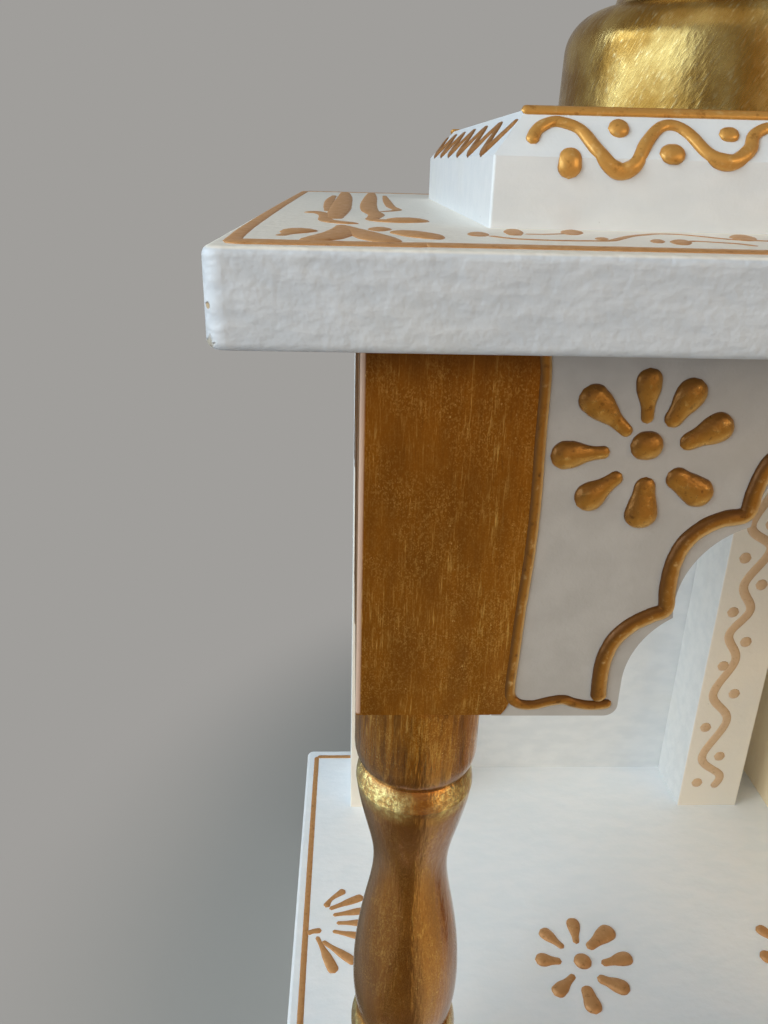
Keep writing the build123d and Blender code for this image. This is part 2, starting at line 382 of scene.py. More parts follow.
def makeConeGold(name, look=coneGold):
    paint = Paint(name)
    drag = paint.noise(paint.point, look["dragSize"], 3.0, 0.6)
    tone = paint.mix(paint.smooth(drag, 0.24, 0.44), look["deep"], look["gold"])
    tone = paint.mix(paint.smooth(drag, 0.54, 0.8) * 0.7, tone, look["light"])
    if look["flankShading"]:
        # painted shade on the flank that faces up and left, and painted light on the flank that faces down
        # and right
        lean = paint.vector("DOT_PRODUCT", paint.facing, look["shadedFlank"], output="Value")
        tone = paint.mix(paint.smooth(lean, -0.05, 0.45) * look["flankShading"], tone, look["deep"])
        tone = paint.mix(paint.smooth(lean, -0.1, -0.6) * look["flankShading"], tone, look["light"])
    distance, luck = paint.cells(paint.point, look["pitSize"])
    pits = paint.smooth(luck, 1 - look["pits"], 1.01 - look["pits"]) * paint.smooth(distance, 0.16, 0.06)
    tone = paint.mix(pits * 0.8, tone, look["dirt"])
    rough = paint.smooth(drag, 0.3, 0.75, look["roughness"] + 0.1, look["roughness"] - 0.05)
    paint.set(Base_Color=tone, Metallic=look["metal"], Roughness=rough)
    peel = paint.noise(paint.point, look["peelSize"], 1.0)
    paint.relief((drag - pits, look["dragDepth"]), (peel, look["peelDepth"]))
    return paint.material


# The work on the ends of the blocks is browner
endGold = dict(
    coneGold,
    deep=colour(120, 78, 34), gold=colour(152, 102, 50), light=colour(190, 140, 80),
    metal=0.4, roughness=0.4,
)

# Flat brushed gold: the thin painted lines and leaves of the roof and the floor
flatGold = dict(
    coneGold,
    deep=colour(168, 116, 68), gold=colour(200, 146, 92), light=colour(218, 170, 118),
    metal=0.3, roughness=0.46, dragDepth=0.1, pits=0.02,
)

# The wave on the pilasters is thin and pale
paleGold = dict(
    flatGold,
    deep=colour(204, 166, 126), gold=colour(222, 186, 146), light=colour(232, 202, 166),
    metal=0.08,
)

# Tan gold on the throne in the middle bay
throneGold = dict(
    postGold,
    deep=colour(248, 222, 182), gold=colour(255, 234, 194), light=colour(255, 242, 210),
    flake=colour(255, 242, 210), metal=0.0, roughness=0.5, coat=0.0,
)

# Metal leaf on the domes and finials: pale yellow gold, laid round the turning in short slanting strokes

leafGold = {
    "deep": colour(152, 114, 52),
    "gold": colour(194, 164, 99),
    "light": colour(240, 233, 188),
    "creaseShade": colour(104, 74, 34),
    "metal": 0.95,
    "roughness": 0.25,
    "strokeSize": 0.9, "strokeSlant": -0.5, "strokeStretch": 0.3, "strokeDepth": 0.1,
    "dentSize": 5.0, "dentDepth": 0.25,
    "patchSize": 14.0, "turnRadius": 50,
}


def makeLeafGold(node, look=leafGold):
    paint = Paint("leaf_" + node)
    low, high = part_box(node)
    toAxis = (-(low.x + high.x) / 2, -(low.y + high.y) / 2, 0)
    x, y, z = paint.parts(paint.add("ShaderNodeMapping", {"Vector": paint.point, "Location": toAxis}))
    turn = paint.math("ARCTAN2", y, x) * (look["turnRadius"] * mm)
    outwards = paint.math("SQRT", x * x + y * y)
    slanted = paint.join(turn + z * look["strokeSlant"], outwards * 0.3, z * look["strokeStretch"])
    strokes = paint.noise(slanted, look["strokeSize"], 3.0, 0.65)
    dents = paint.noise(paint.join(turn, outwards * 0.5, z * 0.6), look["dentSize"])
    patch = paint.noise(paint.point, look["patchSize"], 3.0)
    tone = paint.mix(paint.smooth(patch, 0.32, 0.7), look["deep"], look["gold"])
    tone = paint.mix(paint.smooth(strokes, 0.54, 0.78) * 0.4, tone, look["light"])
    # the creases between the strokes take painted shade
    tone = paint.mix(paint.smooth(strokes, 0.38, 0.24) * 0.35, tone, look["creaseShade"])
    rough = paint.smooth(strokes, 0.3, 0.7, look["roughness"] + 0.07, look["roughness"] - 0.07)
    paint.set(Base_Color=tone, Metallic=look["metal"], Roughness=rough)
    paint.relief((dents, look["dentDepth"]), (strokes, look["strokeDepth"]))
    return paint.material


# Panels: a flat face to paint on, measured in millimetres from one corner. A fold leans the part above a
# height inwards, as a block's chamfer does.

class Panel:
    def __init__(self, origin, across, up, fold=None):
        self.origin = Vector(origin)
        self.across = Vector(across)
        self.up = Vector(up)
        self.out = self.across.cross(self.up)
        self.fold = fold

    def place(self, u, v):
        point = self.origin + (self.across * u + self.up * v) * mm
        out = self.out
        if self.fold and v > self.fold[0]:
            inwards = (v - self.fold[0]) * self.fold[1]
            point -= self.out * inwards * mm
            out = (self.out + self.up * self.fold[1]).normalized()
        return point, out


# Where each face starts, as the low (0) or high (1) end of x, y and z, and its ways across and up
faceWays = {
    "front": ((0, 0, 0), (1, 0, 0), (0, 0, 1)),
    "back": ((1, 1, 0), (-1, 0, 0), (0, 0, 1)),
    "left": ((0, 1, 0), (0, -1, 0), (0, 0, 1)),
    "right": ((1, 0, 0), (0, 1, 0), (0, 0, 1)),
    "top": ((0, 0, 1), (1, 0, 0), (0, 1, 0)),
}


def faceOf(node, face, fold=None):
    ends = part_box(node)
    corner, across, up = faceWays[face]
    return Panel([ends[end][axis] for axis, end in enumerate(corner)], across, up, fold)


def sizeOf(node):
    low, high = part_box(node)
    return (high - low) / mm


def nodesNamed(start):
    return sorted(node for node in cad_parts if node.startswith(start))


# Strokes: one squeeze of the cone each, as points across a panel with a half width at each, in millimetres

def stroke(points, halfWidths, rise):
    if not isinstance(halfWidths, (list, tuple)):
        halfWidths = [halfWidths] * len(points)
    return {"points": points, "halfWidths": halfWidths, "rise": rise}


def dot(u, v, radius, rise):
    return stroke([(u - radius, v), (u, v), (u + radius, v)], radius, rise)


# A drop is narrow where the cone starts and round and wide where it stops
def petal(start, end, narrow, wide, rise):
    shares = (0, 0.3, 0.62, 1)
    swell = (0, 0.12, 0.8, 1)
    points = [(start[0] + (end[0] - start[0]) * s, start[1] + (end[1] - start[1]) * s) for s in shares]
    return stroke(points, [narrow + (wide - narrow) * s for s in swell], rise)


def moved(strokes, u, v=0.0, mirror=False):
    side = -1 if mirror else 1
    return [dict(s, points=[(u + side * a, v + b) for a, b in s["points"]]) for s in strokes]


def jittered(strokes, seed, amount):
    dice = random.Random(seed)
    shaken = []
    for s in strokes:
        du, dv = dice.uniform(-amount, amount), dice.uniform(-amount, amount)
        swell = 1 + dice.uniform(-0.07, 0.07)
        shaken.append(dict(s, points=[(a + du, b + dv) for a, b in s["points"]],
                           halfWidths=[w * swell for w in s["halfWidths"]]))
    return shaken


# Cone work follows its guide lines: each is smoothed, its width rounded off at both ends, and swept

coneWork = {"profilePoints": 7, "sink": 0.12, "narrowest": 0.03, "wobble": 0.08, "wobbleSize": 3.0}


def makeConeTree():
    nodeTree = bpy.data.node_groups.new("coneWork", "GeometryNodeTree")
    inputs = {"Guides": "Geometry", "Spacing": "Float", "Seed": "Float", "Paint": "Material"}
    for name, kind in inputs.items():
        nodeTree.interface.new_socket(name, in_out="INPUT", socket_type="NodeSocket" + kind)
    nodeTree.interface.new_socket("Geometry", in_out="OUTPUT", socket_type="NodeSocketGeometry")
    tree = Tree(nodeTree)
    given = tree.add("NodeGroupInput")

    def attribute(name, kind="FLOAT"):
        return tree.add("GeometryNodeInputNamedAttribute", {"Name": name}, data_type=kind)

    line = tree.add("GeometryNodeMeshToCurve", {"Mesh": given.output("Guides")})
    line = tree.add("GeometryNodeCurveSplineType", {"Curve": line}, spline_type="CATMULL_ROM")
    line = tree.add("GeometryNodeResampleCurve", {"Curve": line, "Length": given.output("Spacing")},
                    mode="LENGTH")
    line = tree.add("GeometryNodeSetCurveNormal",
                    {"Curve": line, "Normal": attribute("facing", "FLOAT_VECTOR")}, mode="FREE")

    halfWidth = attribute("halfWidth")
    along = tree.add("GeometryNodeSplineParameter").output("Length")
    whole = tree.add("GeometryNodeSplineLength")
    toEnd = tree.math("MINIMUM", along, whole - along)
    inside = 1 - tree.math("MINIMUM", toEnd / halfWidth, 1.0)
    rounded = tree.math("SQRT", tree.math("MAXIMUM", 1 - inside * inside, 0.0))
    rounded = tree.math("MAXIMUM", rounded, coneWork["narrowest"])
    place = tree.add("GeometryNodeInputPosition")
    shaking = tree.add("ShaderNodeTexNoise", {
        "Vector": place, "W": given.output("Seed"), "Scale": 1 / (coneWork["wobbleSize"] * mm),
    }, noise_dimensions="4D")
    wobble = 1 + (shaking - 0.5) * (coneWork["wobble"] * 2)
    line = tree.add("GeometryNodeStoreNamedAttribute", {"Geometry": line, "Name": "spine", "Value": place},
                    data_type="FLOAT_VECTOR", domain="POINT")
    profile = tree.add("GeometryNodeCurveArc", {
        "Resolution": coneWork["profilePoints"], "Radius": 1.0,
        "Start Angle": -math.pi / 2, "Sweep Angle": math.pi,
    }, mode="RADIUS")
    profile = tree.add("GeometryNodeSetSplineCyclic", {"Geometry": profile, "Cyclic": True})
    sunk = (-coneWork["sink"], 0, 0)
    profile = tree.add("GeometryNodeTransform", {"Geometry": profile, "Translation": sunk})
    body = tree.add("GeometryNodeCurveToMesh", {
        "Curve": line, "Profile Curve": profile, "Scale": halfWidth * rounded * wobble, "Fill Caps": True})
    facing = attribute("facing", "FLOAT_VECTOR")
    spine = attribute("spine", "FLOAT_VECTOR")
    offset = tree.vector("SUBTRACT", tree.add("GeometryNodeInputPosition"), spine)
    height = tree.vector("DOT_PRODUCT", offset, facing, output="Value")
    lower = tree.add("ShaderNodeVectorMath", {"Vector": facing, "Scale": height * (attribute("rise") - 1)},
                     operation="SCALE")
    body = tree.add("GeometryNodeSetPosition", {"Geometry": body, "Offset": lower})
    body = tree.add("GeometryNodeRealizeInstances", {"Geometry": body})
    painted = {"Geometry": body, "Material": given.output("Paint")}
    tree.add("NodeGroupOutput", {"Geometry": tree.add("GeometryNodeSetMaterial", painted)})
    return nodeTree


coneTree = makeConeTree()


# Puts a finished mesh in the scene as a piece of the one body
def addPiece(name, mesh):
    piece = bpy.data.objects.new(name, mesh)
    bpy.context.scene.collection.objects.link(piece)
    mesh.shade_smooth()
    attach(piece, "root")


# Squeezes strokes onto their panels as one piece
def squeeze(name, panelStrokes, paint, spacing, seed=0):
    guides = bpy.data.meshes.new(name + "_guides")
    corners, edges, halfWidths, facings, rises = [], [], [], [], []
    for panel, strokes in panelStrokes:
        for s in strokes:
            first = len(corners)
            for (u, v), halfWidth in zip(s["points"], s["halfWidths"]):
                point, out = panel.place(u, v)
                corners.append(point)
                facings.extend(out)
                halfWidths.append(halfWidth * mm)
                rises.append(s["rise"])
            edges.extend((i, i + 1) for i in range(first, len(corners) - 1))
    guides.from_pydata(corners, edges, [])
    guides.attributes.new("halfWidth", "FLOAT", "POINT").data.foreach_set("value", halfWidths)
    guides.attributes.new("rise", "FLOAT", "POINT").data.foreach_set("value", rises)
    guides.attributes.new("facing", "FLOAT_VECTOR", "POINT").data.foreach_set("vector", facings)
    guideObject = bpy.data.objects.new(name + "_guides", guides)
    bpy.context.scene.collection.objects.link(guideObject)
    modifier = guideObject.modifiers.new("coneWork", "NODES")
    modifier.node_group = coneTree
    wanted = {"Spacing": spacing * mm, "Seed": float(seed), "Paint": paint}
    for item in coneTree.interface.items_tree:
        if item.name in wanted:
            modifier[item.identifier] = wanted[item.name]
    shaped = guideObject.evaluated_get(bpy.context.evaluated_depsgraph_get())
    mesh = bpy.data.meshes.new_from_object(shaped)
    mesh.name = name
    bpy.data.objects.remove(guideObject)
    for attribute in ("spine", "facing", "halfWidth", "rise"):
        if attribute in mesh.attributes:
            mesh.attributes.remove(mesh.attributes[attribute])
    addPiece(name, mesh)


# Paint on the wood

slabLow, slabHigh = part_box("roof_slab")
cornerChips = (
    ((slabLow.x + 0.6 * mm, slabLow.y + 1.2 * mm, slabHigh.z - 10.5 * mm), 0.9, colour(184, 160, 126)),
    ((slabLow.x + 0.8 * mm, slabLow.y + 1.2 * mm, slabLow.z + 1.2 * mm), 1.8, colour(176, 168, 154)),
)
postPaint = makePostGold("post_gold", post="post_outer_left")
conePaint = makeConeGold("cone_gold")
pipingPaint = makeConeGold("piping_gold", pipingGold)
petalPaint = makeConeGold("petal_gold", petalGold)
endPaint = makeConeGold("end_gold", endGold)
flatPaint = makeConeGold("flat_gold", flatGold)
palePaint = makeConeGold("pale_gold", paleGold)

# The paint of each kind of piece, by the first word of its name. The plinth and the back are white_inside.
whiteInside = makeWhite("white_inside", whiteEnamel)
paints = {
    "base": makeWhite("white_floor_lit", litFloorWhite),
    "roof": makeWhite("white_roof_lit_and_shaded", roofWhiteLitAndShaded, cornerChips),
    "block": makeWhite("white_blocks", blockWhite, dirtyFoot=slabHigh.z),
    "arch": makeWhite("white_arches_shaded", shadedArchWhite),
    "pilaster": makeWhite("white_pilasters_lit_front", pilasterWhiteLitFront),
    "post": postPaint,
    "throne": makePostGold("throne_gold", throneGold),
}
for node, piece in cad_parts.items():
    kind = node.split("_")[0]
    leafed = kind in ("dome", "finial")
    piece.data.materials.clear()
    piece.data.materials.append(makeLeafGold(node) if leafed else paints.get(kind, whiteInside))
print("painted the wood")


# Arch boards: a bowed bead beside each post, a wavy line along the foot, a piping inside the lobes, and an
# eight petal flower in each corner. Measured from the post's inner edge and down from the roof slab.

archWork = {
    "bead": [(4.4, -0.6), (4.9, -6), (5.4, -11), (5.6, -26), (6.0, -41), (5.8, -56), (5.0, -71), (4.5, -86),
             (4.2, -94), (4.6, -98), (7.0, -100.3), (11, -100.7), (15, -99.6), (19, -99), (22, -100),
             (26, -100.8), (30, -100.6), (32.3, -99.7)],
    "beadHalfWidth": 1.6,
    "piping": [(28.6, -99.5), (28.2, -93), (28.5, -86), (30.5, -80), (34.5, -75.5), (39, -72.8),
               (42.5, -70.8), (42.2, -65), (42.5, -58), (44.5, -52), (48.5, -47.8), (53, -45.5),
               (58.5, -44), (59.5, -38), (61, -32)],
    "pipingHalfOpening": 56.9, "pipingTop": -18.1, "crownSteps": 8,
    "pipingHalfWidth": 2.35,
    "flowerCentre": (31.2, -26.8),
    "dotRadius": 4.0,
    "petals": [  # start, end, narrow and wide half widths
        ((-0.8, 5.4), (-2.0, 18.7), 1.6, 3.5),
        ((4.4, 4.6), (10.5, 16.0), 2.2, 3.9),
        ((8.0, -0.2), (19.7, 6.2), 2.2, 3.9),
        ((6.4, -6.6), (17.7, -13.7), 3.1, 4.3),
        ((0.9, -8.0), (1.0, -21.5), 2.5, 4.3),
        ((-5.2, -7.3), (-15.2, -15.7), 1.9, 4.1),
        ((-8.4, -1.6), (-22.6, -2.8), 1.6, 3.8),
        ((-4.3, 2.4), (-16.8, 13.3), 1.6, 4.0),
    ],
}


def flower(look, flatter=1.0):
    drops = [petal(*drop, 0.55 * flatter) for drop in look["petals"]]
    return [dot(0, 0, look["dotRadius"], 0.6 * flatter)] + drops


# The bead and the piping, up to the middle of the board
def archLines(width, rise):
    look = archWork
    bead = stroke(look["bead"], look["beadHalfWidth"], rise)
    start = look["piping"][0][0]
    stretch = (width / 2 - start) / look["pipingHalfOpening"]
    lobes = [(start + (u - start) * stretch, v) for u, v in look["piping"]]
    top = look["pipingTop"]
    side, level = lobes[-1]
    half = width / 2 - side
    radius = (half * half + (top - level) ** 2) / (2 * (top - level))
    sweep = math.asin(half / radius)
    steps = look["crownSteps"]
    turns = [sweep * (i / steps - 1) for i in range(1, steps + 1)]
    crown = [(width / 2 + radius * math.sin(a), top - radius + radius * math.cos(a)) for a in turns]
    return [bead, stroke(lobes + crown, look["pipingHalfWidth"], rise)]


def onBothHalves(strokes, width, seed):
    return jittered(strokes, seed, 0.2) + moved(jittered(strokes, seed + 1, 0.3), width, mirror=True)


def archPanel(node):
    face = next((end for end in ("left", "right") if node.endswith("end_" + end)), "front")
    panel = faceOf(node, face)
    panel.origin.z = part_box(node)[1].z
    width, depth, _ = sizeOf(node)
    return panel, width if face == "front" else depth


# The posts' gold runs on over the boards up to the bead, as a skin of paint that thins out over the post
skinWork = {
    "startsOver": 8.0, "fullFrom": 2.0, "foot": 103.8,
    "sunk": 0.05, "thick": 0.35, "backing": 0.5, "rows": 52,
}


def beadPlace(v):
    bead = archWork["bead"]
    for (u0, v0), (u1, v1) in zip(bead, bead[1:]):
        if v1 <= v <= v0:
            return u0 + (u1 - u0) * (v - v0) / (v1 - v0)
    return bead[0][0]


def skinEdge(v):
    corner = archWork["bead"][9]
    if v >= corner[1]:
        return beadPlace(v)
    return corner[0] - 2.2 * ((corner[1] - v) / (skinWork["foot"] + corner[1])) ** 2


def paintSkin(name, panel, width):
    look = skinWork
    over, full, rows = look["startsOver"], look["fullFrom"], look["rows"]
    points, faces = [], []
    for mirror in (False, True):
        first = len(points)
        for row in range(rows + 1):
            v = -look["foot"] * row / rows
            front, back = [], []
            for u in (-over, -over * 0.75, -over * 0.5, -full, 0.0, skinEdge(v) * 0.5, skinEdge(v)):
                share = min(1.0, max(0.0, (u + over) / (over - full)))
                rise = -look["sunk"] + (look["thick"] + look["sunk"]) * share * share * (3 - 2 * share)
                place, out = panel.place(width - u if mirror else u, v)
                front.append(place + out * (rise * mm))
                back.insert(0, place - out * (look["backing"] * mm))
            points += front + back
        around = len(front + back)
        for start in range(first, first + rows * around, around):
            for i in range(around):
                beside = (i + 1) % around
                faces.append((start + i, start + around + i, start + around + beside, start + beside))
        for end in (first, first + rows * around):
            for i in range(len(front) - 1):
                faces.append((end + i, end + i + 1, end + around - 2 - i, end + around - 1 - i))
    shape = bpy.data.meshes.new(name)
    shape.from_pydata(points, [], faces)
    outwards = bmesh.new()
    outwards.from_mesh(shape)
    bmesh.ops.recalc_face_normals(outwards, faces=outwards.faces)
    outwards.to_mesh(shape)
    outwards.free()
    shape.materials.append(postPaint)
    addPiece(name, shape)
    shape.set_sharp_from_angle(angle=math.radians(40))


for seed, node in enumerate(nodesNamed("arch")):
    panel, width = archPanel(node)
    spacing = 0.45 if node == "arch_left" else 0.9
    # the end boards' work is flatter
    flatter = 0.25 if "end" in node else 1.0
    lines = onBothHalves(archLines(width, 0.8 * flatter), width, 10 * seed)
    squeeze("cone_work_" + node, [(panel, lines)], pipingPaint, spacing, seed)
    flowers = onBothHalves(moved(flower(archWork, flatter), *archWork["flowerCentre"]), width, 10 * seed)
    squeeze("cone_flowers_" + node, [(panel, flowers)], petalPaint, spacing, seed)
    if "end" not in node:
        paintSkin("gold_skin_" + node, panel, width)
print("arches done")


# Roof slab: a border line, a spray of leaves up each end and a vine along the front

roofWork = {
    "lineHalfWidth": 1.7, "frontHalfWidth": 4.2,
    "frontInset": 9.2, "sideInset": 3.4, "backInset": 6.0,
    "rise": 0.16,
    "sprayPetal": ((12.4, 25), (16.8, 43), 1.2, 4.4),
    "spray": [  # points and half widths of each stroke
        ([(18.8, 14), (22, 22), (24.3, 33), (25.2, 46), (24.8, 60)], [2.8, 4.0, 3.8, 2.8, 1.2]),
        ([(35.4, 14.5), (33, 22), (30.5, 33), (27.7, 45), (25.3, 58)], [2.8, 4.2, 3.8, 2.8, 1.2]),
        ([(33.5, 42.5), (33.9, 49), (34.4, 56)], [0.9, 3.0, 0.9]),
        ([(36.5, 44), (39, 41), (41.8, 35), (43.4, 30), (45.4, 24)], [1.0, 3.8, 4.8, 4.4, 1.2]),
        ([(14.8, 109), (16.8, 112.5), (19.2, 100), (20.5, 78), (24, 69), (29, 65.6)],
         [3.4, 2.6, 1.7, 2.2, 3.0, 2.2]),
        ([(22.3, 84), (23.2, 130), (23.4, 170), (23.8, 232), (23.3, 292)], [2.4, 3.7, 3.8, 3.4, 2.4]),
        ([(19.6, 122), (18.6, 160), (18.2, 205), (18.8, 250)], [1.2, 1.7, 1.9, 1.2]),
        ([(32.4, 84), (34.5, 106), (33.0, 130), (33.3, 175), (35.2, 239), (36.6, 292)],
         [1.8, 2.6, 3.0, 3.2, 3.0, 2.0]),
        ([(35, 122), (42, 136), (41, 160), (41.3, 208), (42.2, 262)], [1.0, 1.7, 1.8, 1.7, 1.0]),
        ([(31.8, 86), (35.4, 79), (39.3, 78), (42.4, 82), (44.4, 88)], [1.2, 3.4, 5.0, 6.4, 3.4]),
    ],
    "vineStart": 58.0, "vinePeriod": 66.0,
    "vineTip": ([(55.2, 34.5), (55.9, 40.5), (56.6, 46.5)], [1.5, 2.6, 1.5]),
    "vine": [
        ([(0, 37), (3.6, 31), (9, 28.8), (14, 28.4), (20, 29.2), (25, 30.6), (28, 35), (34, 45), (39.6, 51),
          (43.6, 54.4), (48.5, 54.2), (52, 50), (55.3, 43.8), (58, 41.2), (66, 39.5)], 1.15),
        ([(6.2, 39.5), (7.5, 49.5), (9, 59)], [1.3, 2.5, 1.4]),
        ([(9, 44.2), (14, 45), (18, 47.4), (21, 50)], 0.9),
        ([(20.4, 45), (22.3, 53), (24.3, 61.5)], [1.4, 2.9, 1.2]),
        ([(23.8, 32), (24.8, 35.8), (25.9, 39.5)], [0.8, 1.6, 0.8]),
        ([(34.6, 27.5), (36.2, 32.4), (37.9, 37.5)], [0.8, 1.6, 0.8]),
        ([(38.6, 24), (40.9, 31.1), (43.4, 38)], [1.2, 2.5, 1.2]),
        ([(43.5, 33), (45.4, 34.7), (50.4, 32.2), (53.7, 29.7), (55, 25)], 1.0),
        ([(59, 38.5), (62, 48), (65.5, 57.5)], [1.6, 3.2, 1.4]),
    ],
}


def border(width, depth, left, front, back, sideHalf, frontHalf, rise=0.3):
    right = width - left
    rear = depth - back
    along = [(left, front - 0.6), (width * 0.05, front), (width * 0.1, front + 1.0),
             (width * 0.5, front - 0.5), (right, front)]
    leftSide = [(left + 1.2, front), (left, front + 42), (left - 0.6, depth * 0.5), (left - 0.4, rear)]
    return [
        stroke(along, [frontHalf] + [frontHalf * 0.86] * 4, rise),
        stroke([(left, rear), (width * 0.5, rear + 0.5), (right, rear)], sideHalf, rise),
        stroke(leftSide, sideHalf, rise),
        stroke([(right - 0.6, front), (right + 0.2, depth * 0.5), (right, rear)], sideHalf, rise),
    ]


def roofStrokes():
    look = roofWork
    rise = look["rise"]
    width, depth, _ = sizeOf("roof_slab")
    strokes = border(width, depth, look["sideInset"], look["frontInset"], look["backInset"],
                     look["lineHalfWidth"], look["frontHalfWidth"], rise)
    spray = [petal(*look["sprayPetal"], rise)] + [stroke(*line, rise) for line in look["spray"]]
    strokes += spray + moved(jittered(spray, 3, 0.4), width, mirror=True)
    strokes.append(stroke(*look["vineTip"], rise))
    vine = [stroke(*line, rise) for line in look["vine"]]
    for unit in range(round((width - 2 * look["vineStart"]) / look["vinePeriod"])):
        shaken = jittered(vine, unit, 0.5 if unit else 0.0)
        strokes += moved(shaken, look["vineStart"] + look["vinePeriod"] * unit)
    return strokes


squeeze("cone_work_roof", [(faceOf("roof_slab", "top"), roofStrokes())], flatPaint, 0.8)
print("roof done")


# Blocks: a line along the top edge, and a wave with dots on the front and back that climbs onto the chamfer

blockWork = {
    "chamferFrom": 16.7, "lean": 0.824, "top": 27.3, "edgeHalfWidth": 1.4,
    "start": (9.2, 19.5),
    "wave": [  # one double wave: place and half width
        (11.0, 22.7, 1.7), (14.4, 24.5, 1.6), (17.5, 24.5, 1.6), (21.8, 22.9, 1.7), (25.4, 18.5, 1.85),
        (29.0, 14.8, 2.05), (32.0, 13.8, 2.1), (35.0, 15.5, 1.95), (38.0, 20.6, 1.75), (41.6, 24.0, 1.6),
        (45.3, 24.5, 1.6), (48.8, 22.6, 1.7), (52.6, 18.5, 1.85), (56.0, 16.6, 2.0), (59.5, 16.7, 2.0),
        (63.5, 19.6, 1.85)],
    "period": 54.0,
    "dots": [  # place, half width and half height
        (18.8, 15.3, 3.1, 3.7), (31.3, 23.5, 2.7, 2.7), (44.0, 18.0, 3.4, 2.9), (58.8, 22.8, 2.8, 2.2)],
    "sideTrough": (17.8, 1.9), "sideCrest": (24.6, 1.2), "sidePeriod": 27.0, "sideFirst": 8.0,
}


def oval(u, v, halfWidth, halfHeight):
    shorter = min(halfWidth, halfHeight)
    reach = 0.7 * max(halfWidth, halfHeight) + 0.3 * shorter
    a, b = (0, reach) if halfHeight > halfWidth else (reach, 0)
    return stroke([(u - a, v - b), (u, v), (u + a, v + b)], shorter, 0.62)


def waveStrokes(length, look=blockWork):
    units = round((length - 2 * look["start"][0]) / look["period"])
    stretch = (length - 2 * look["start"][0]) / (units * look["period"])
    first = look["start"][0]
    points, halfWidths, drops = [look["start"]], [1.75], []
    for unit in range(units):
        shift = first + unit * look["period"] * stretch
        for u, v, halfWidth in look["wave"]:
            points.append((shift + (u - first) * stretch, v))
            halfWidths.append(halfWidth)
        drops += [oval(shift + (u - first) * stretch, v, wide, tall) for u, v, wide, tall in look["dots"]]
    return [stroke(points, halfWidths, 0.8)] + drops


# The ends carry a closer wave without dots, thin at its crests
def sideWave(length, look=blockWork):
    turns = round((length - 2 * look["sideFirst"]) / look["sidePeriod"]) * 2
    step = (length - 2 * look["sideFirst"]) / turns
    points, halfWidths = [], []
    for turn in range(turns + 1):
        level, halfWidth = look["sideTrough"] if turn % 2 else look["sideCrest"]
        points.append((look["sideFirst"] + step * turn, level))
        halfWidths.append(halfWidth)
    return [stroke(points, halfWidths, 0.6)]


def blockStrokes(node):
    look = blockWork
    width, depth, height = sizeOf(node)
    inset = (height - look["chamferFrom"]) * look["lean"]
    fold = (look["chamferFrom"], look["lean"])
    top = look["top"]
    edge = stroke([(inset - 1.5, top), (width / 2, top + 0.2), (width - inset + 1.5, top)],
                  look["edgeHalfWidth"], 0.6)
    wave = waveStrokes(width)
    faces = [(faceOf(node, "front", fold), wave + [edge]),
             (faceOf(node, "back", fold), jittered(wave, 3, 0.25) + [edge])]
    ends = [(faceOf(node, side, fold), jittered(sideWave(depth), seed, 0.25))
            for seed, side in ((1, "left"), (2, "right"))]
    return faces, ends


for node in nodesNamed("block"):
    faces, ends = blockStrokes(node)
    spacing = 0.5 if node == "block_left" else 1.0
    squeeze("cone_work_" + node, faces, conePaint, spacing)
    squeeze("cone_work_ends_" + node, ends, endPaint, spacing)
print("blocks done")


# Floor: a border line, a row of flowers that leaves the throne's step free, and a spray at each end

floorWork = {
    "inset": 6.6, "lineHalfWidth": 1.6,
    "flowerRow": 140.0, "firstFlower": 147.5, "flowers": 5,
    "petals": [
        ((0.0, 10.5), (1.5, 26.5), 1.8, 3.9),
        ((4.5, 8.0), (21.0, 20.0), 2.6, 5.2),
        ((9.5, -1.5), (26.5, 2.0), 2.0, 4.4),
        ((5.5, -9.0), (20.0, -16.5), 2.6, 4.5),
        ((-1.5, -13.5), (0.0, -28.5), 3.0, 4.3),
        ((-6.0, -7.5), (-18.5, -18.5), 1.8, 4.1),
        ((-10.5, 0.0), (-24.0, 1.5), 2.0, 4.1),
        ((-7.5, 8.5), (-17.5, 20.0), 1.9, 3.9),
    ],
    "dotRadius": 4.6,
    "sprayRise": 0.35,
    "sprayLines": [
        ([(6.6, 158.5), (10, 160), (14.5, 160.5)], [1.6, 1.5, 1.9]),
        ([(16, 175), (19, 180.5), (26.5, 186.5)], [2.4, 1.2, 2.5]),
    ],
    "sprayPetals": [
        ((12, 157), (22, 135.5), 1.2, 3.0),
        ((15, 154), (32.5, 141), 1.3, 2.7),
        ((20, 160), (38, 156), 1.2, 2.4),
        ((22, 165), (40, 165), 1.2, 2.4),
        ((20, 170), (38, 173), 1.2, 2.4),
        ((18, 174), (36.5, 182), 1.3, 2.6),
    ],
}


def floorStrokes():
    look = floorWork
    width, depth, _ = sizeOf("base_slab")
    inset, halfWidth = look["inset"], look["lineHalfWidth"]
    strokes = border(width, depth, inset, inset, inset, halfWidth, halfWidth)
    middle = look["flowers"] // 2
    pitch = (width / 2 - look["firstFlower"]) / middle
    for i in range(look["flowers"]):
        if i != middle:
            place = (look["firstFlower"] + pitch * i, look["flowerRow"])
            strokes += jittered(moved(flower(look), *place), i, 0.5)
    rise = look["sprayRise"]
    stem, lowest = (stroke(*line, rise) for line in look["sprayLines"])
    spray = [stem, *(petal(*drop, rise) for drop in look["sprayPetals"]), lowest]
    return strokes + spray + moved(jittered(spray, 9, 0.5), width, mirror=True)


squeeze("cone_work_floor", [(faceOf("base_slab", "top"), floorStrokes())], flatPaint, 0.9)


# Pilasters: a wave with dots up the front

